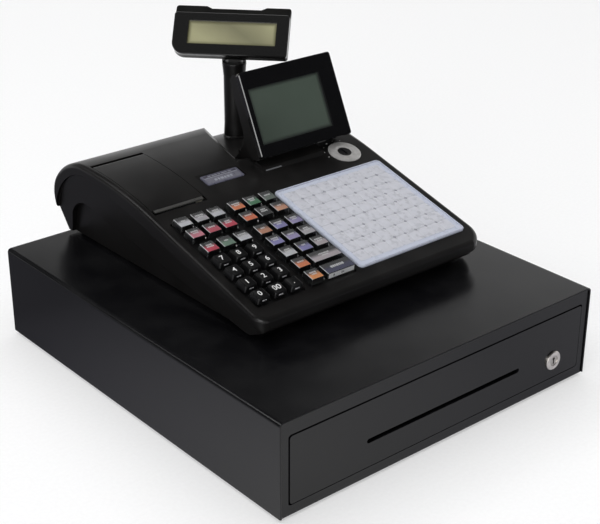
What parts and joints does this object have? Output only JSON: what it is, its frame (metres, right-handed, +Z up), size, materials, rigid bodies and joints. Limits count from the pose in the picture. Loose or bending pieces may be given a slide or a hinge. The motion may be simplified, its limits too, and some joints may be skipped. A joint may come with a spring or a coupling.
{
  "type": "cash register with drawer",
  "caption": "Electronic cash register with key blocks, flat keypad, receipt printer, tilting operator display and swivelling customer display, standing on a steel cash drawer.",
  "frame": {"origin": "bottom centre of the whole object's box, on the plane that the drawer's rubber feet stand on", "axes": "+Z up; the drawer opens towards -Y, which is the operator's side; +X to the operator's right"},
  "size_m": [0.4, 0.4742, 0.3154],
  "materials": {
    "cabinet_steel": "satin textured charcoal paint",
    "bare_steel": "zinc plated",
    "bright_steel": "bright plated",
    "foot_rubber": "matt",
    "housing": "fine-grained satin dark plastic",
    "inner_plastic": "matt",
    "till_plastic": "satin",
    "bezel_gloss": "gloss black",
    "operator_glass": "grey-green LCD",
    "customer_glass": "yellow-green LCD",
    "crown_plastic": "satin grey-black",
    "key_black": "satin black",
    "key_clear": "clear cap over a coloured insert",
    "pad_sheet": "pale satin sheet",
    "lilac_plate": "satin lilac-grey",
    "paper": "matt paper",
    "platen_rubber": "matt",
    "gear_plastic": "natural acetal",
    "till_spring": "satin"
  },
  "bodies": {
    "base": {"cabinet_cover": "cabinet_steel", "base_pan": "cabinet_steel", "front_frame": "cabinet_steel", "rubber_feet": "foot_rubber", "fixed_rails": "bare_steel", "latch_solenoid": "bare_steel", "lower_case": "housing", "upper_case": "housing", "keyboard_plate": "inner_plastic", "flat_keypad": "pad_sheet", "mode_ring": "bright_steel", "window_plate": "lilac_plate", "printer_frame": "inner_plastic", "feed_motor": "bare_steel", "display_bracket": "housing"},
    "drawer": {"drawer_box": "bare_steel", "drawer_front": "cabinet_steel", "moving_rails": "bare_steel", "till_insert": "till_plastic", "coin_tray": "till_plastic", "lock_body": "bright_steel"},
    "lock_cam": {"lock_plug": "bright_steel"},
    "note_clip_1": {"bill_clip_1": "till_spring"},
    "note_clip_2": {"bill_clip_2": "till_spring"},
    "note_clip_3": {"bill_clip_3": "till_spring"},
    "note_clip_4": {"bill_clip_4": "till_spring"},
    "latch": {"latch_lever": "bare_steel"},
    "printer_lid": {"printer_cover": "housing", "tear_bar": "bright_steel"},
    "platen": {"platen_roller": "platen_rubber", "platen_gear": "gear_plastic"},
    "motor_pinion": {"feed_pinion": "gear_plastic"},
    "receipt_roll": {"paper_roll": "paper"},
    "mode_switch": {"mode_rotor": "bright_steel"},
    "operator_display": {"display_bezel": "bezel_gloss", "display_back": "housing", "display_lcd": "operator_glass"},
    "display_pole": {"pole": "housing"},
    "customer_display": {"customer_front": "bezel_gloss", "customer_back": "crown_plastic", "customer_lcd": "customer_glass"},
    "key_0_cap": {"key_0": "key_black"},
    "key_00_cap": {"key_00": "key_black"},
    "key_point_cap": {"key_point": "key_black"},
    "key_1_cap": {"key_1": "key_black"},
    "key_2_cap": {"key_2": "key_black"},
    "key_3_cap": {"key_3": "key_black"},
    "key_4_cap": {"key_4": "key_black"},
    "key_5_cap": {"key_5": "key_black"},
    "key_6_cap": {"key_6": "key_black"},
    "key_7_cap": {"key_7": "key_black"},
    "key_8_cap": {"key_8": "key_black"},
    "key_9_cap": {"key_9": "key_black"},
    "function_keys_1_caps": {"function_keys_1": "key_clear"},
    "function_keys_2_caps": {"function_keys_2": "key_clear"},
    "function_keys_3_caps": {"function_keys_3": "key_clear"},
    "function_keys_4_caps": {"function_keys_4": "key_clear"},
    "function_keys_5_caps": {"function_keys_5": "key_clear"},
    "function_keys_6_caps": {"function_keys_6": "key_clear"},
    "function_keys_7_caps": {"function_keys_7": "key_clear"}
  },
  "joints": [
    {"name": "drawer_slide", "type": "slide", "parent": "base", "child": "drawer", "axis": [0, -1, 0], "range_m": [0, 0.32]},
    {"name": "lock_turn", "type": "hinge", "parent": "drawer", "child": "lock_cam", "pos_m": [0.1502, -0.23507, 0.035], "axis": [0, -1, 0], "range_deg": [0, 90]},
    {"name": "note_clip_1_hinge", "type": "hinge", "parent": "drawer", "child": "note_clip_1", "pos_m": [-0.13035, 0.16893, 0.0644], "axis": [-1, 0, 0], "range_deg": [0, 20], "stiffness_Nm_per_rad": 0.25},
    {"name": "note_clip_2_hinge", "type": "hinge", "parent": "drawer", "child": "note_clip_2", "pos_m": [-0.04345, 0.16893, 0.0644], "axis": [-1, 0, 0], "range_deg": [0, 20], "stiffness_Nm_per_rad": 0.25},
    {"name": "note_clip_3_hinge", "type": "hinge", "parent": "drawer", "child": "note_clip_3", "pos_m": [0.04345, 0.16893, 0.0644], "axis": [-1, 0, 0], "range_deg": [0, 20], "stiffness_Nm_per_rad": 0.25},
    {"name": "note_clip_4_hinge", "type": "hinge", "parent": "drawer", "child": "note_clip_4", "pos_m": [0.13035, 0.16893, 0.0644], "axis": [-1, 0, 0], "range_deg": [0, 20], "stiffness_Nm_per_rad": 0.25},
    {"name": "latch_hinge", "type": "hinge", "parent": "base", "child": "latch", "pos_m": [0, 0.19368, 0.015], "axis": [0, 1, 0], "range_deg": [0, 15], "stiffness_Nm_per_rad": 0.05},
    {"name": "printer_lid_hinge", "type": "hinge", "parent": "base", "child": "printer_lid", "pos_m": [-0.09455, 0.15493, 0.18481], "axis": [-1, 0, 0], "range_deg": [0, 90]},
    {"name": "platen_spin", "type": "hinge", "parent": "base", "child": "platen", "pos_m": [-0.09275, 0.05943, 0.165], "axis": [1, 0, 0], "continuous": true},
    {"name": "pinion_spin", "type": "hinge", "parent": "base", "child": "motor_pinion", "pos_m": [-0.06515, 0.06753, 0.15535], "axis": [1, 0, 0], "continuous": true},
    {"name": "roll_spin", "type": "hinge", "parent": "base", "child": "receipt_roll", "pos_m": [-0.09275, 0.10793, 0.145], "axis": [1, 0, 0], "continuous": true},
    {"name": "mode_turn", "type": "hinge", "parent": "base", "child": "mode_switch", "pos_m": [0.1277, 0.0531, 0.17634], "axis": [0, -0.2588, 0.9659], "range_deg": [-60, 120]},
    {"name": "operator_display_tilt", "type": "hinge", "parent": "base", "child": "operator_display", "pos_m": [0.0825, 0.08595, 0.19892], "axis": [1, 0, 0], "range_deg": [-4, 6]},
    {"name": "pole_swivel", "type": "hinge", "parent": "base", "child": "display_pole", "pos_m": [0.069, 0.16993, 0.177], "axis": [0, 0, 1], "range_deg": [-3, 90]},
    {"name": "customer_display_tilt", "type": "hinge", "parent": "display_pole", "child": "customer_display", "pos_m": [0.07178, 0.17252, 0.2688], "axis": [0.682, -0.7314, 0], "range_deg": [-20, 10]},
    {"name": "key_0_press", "type": "slide", "parent": "base", "child": "key_0_cap", "axis": [0, 0.2588, -0.9659], "range_m": [0, 0.003], "stiffness_N_per_m": 150},
    {"name": "key_00_press", "type": "slide", "parent": "base", "child": "key_00_cap", "axis": [0, 0.2588, -0.9659], "range_m": [0, 0.003], "stiffness_N_per_m": 150},
    {"name": "key_point_press", "type": "slide", "parent": "base", "child": "key_point_cap", "axis": [0, 0.2588, -0.9659], "range_m": [0, 0.003], "stiffness_N_per_m": 150},
    {"name": "key_1_press", "type": "slide", "parent": "base", "child": "key_1_cap", "axis": [0, 0.2588, -0.9659], "range_m": [0, 0.003], "stiffness_N_per_m": 150},
    {"name": "key_2_press", "type": "slide", "parent": "base", "child": "key_2_cap", "axis": [0, 0.2588, -0.9659], "range_m": [0, 0.003], "stiffness_N_per_m": 150},
    {"name": "key_3_press", "type": "slide", "parent": "base", "child": "key_3_cap", "axis": [0, 0.2588, -0.9659], "range_m": [0, 0.003], "stiffness_N_per_m": 150},
    {"name": "key_4_press", "type": "slide", "parent": "base", "child": "key_4_cap", "axis": [0, 0.2588, -0.9659], "range_m": [0, 0.003], "stiffness_N_per_m": 150},
    {"name": "key_5_press", "type": "slide", "parent": "base", "child": "key_5_cap", "axis": [0, 0.2588, -0.9659], "range_m": [0, 0.003], "stiffness_N_per_m": 150},
    {"name": "key_6_press", "type": "slide", "parent": "base", "child": "key_6_cap", "axis": [0, 0.2588, -0.9659], "range_m": [0, 0.003], "stiffness_N_per_m": 150},
    {"name": "key_7_press", "type": "slide", "parent": "base", "child": "key_7_cap", "axis": [0, 0.2588, -0.9659], "range_m": [0, 0.003], "stiffness_N_per_m": 150},
    {"name": "key_8_press", "type": "slide", "parent": "base", "child": "key_8_cap", "axis": [0, 0.2588, -0.9659], "range_m": [0, 0.003], "stiffness_N_per_m": 150},
    {"name": "key_9_press", "type": "slide", "parent": "base", "child": "key_9_cap", "axis": [0, 0.2588, -0.9659], "range_m": [0, 0.003], "stiffness_N_per_m": 150},
    {"name": "function_keys_1_press", "type": "slide", "parent": "base", "child": "function_keys_1_caps", "axis": [0, 0.2588, -0.9659], "range_m": [0, 0.003], "stiffness_N_per_m": 300},
    {"name": "function_keys_2_press", "type": "slide", "parent": "base", "child": "function_keys_2_caps", "axis": [0, 0.2588, -0.9659], "range_m": [0, 0.003], "stiffness_N_per_m": 300},
    {"name": "function_keys_3_press", "type": "slide", "parent": "base", "child": "function_keys_3_caps", "axis": [0, 0.2588, -0.9659], "range_m": [0, 0.003], "stiffness_N_per_m": 450},
    {"name": "function_keys_4_press", "type": "slide", "parent": "base", "child": "function_keys_4_caps", "axis": [0, 0.2588, -0.9659], "range_m": [0, 0.003], "stiffness_N_per_m": 450},
    {"name": "function_keys_5_press", "type": "slide", "parent": "base", "child": "function_keys_5_caps", "axis": [0, 0.2588, -0.9659], "range_m": [0, 0.003], "stiffness_N_per_m": 900},
    {"name": "function_keys_6_press", "type": "slide", "parent": "base", "child": "function_keys_6_caps", "axis": [0, 0.2588, -0.9659], "range_m": [0, 0.003], "stiffness_N_per_m": 900},
    {"name": "function_keys_7_press", "type": "slide", "parent": "base", "child": "function_keys_7_caps", "axis": [0, 0.2588, -0.9659], "range_m": [0, 0.003], "stiffness_N_per_m": 900}
  ],
  "couplings": [
    {"joint": "pinion_spin", "follows": "platen_spin", "ratio": -2}
  ]
}
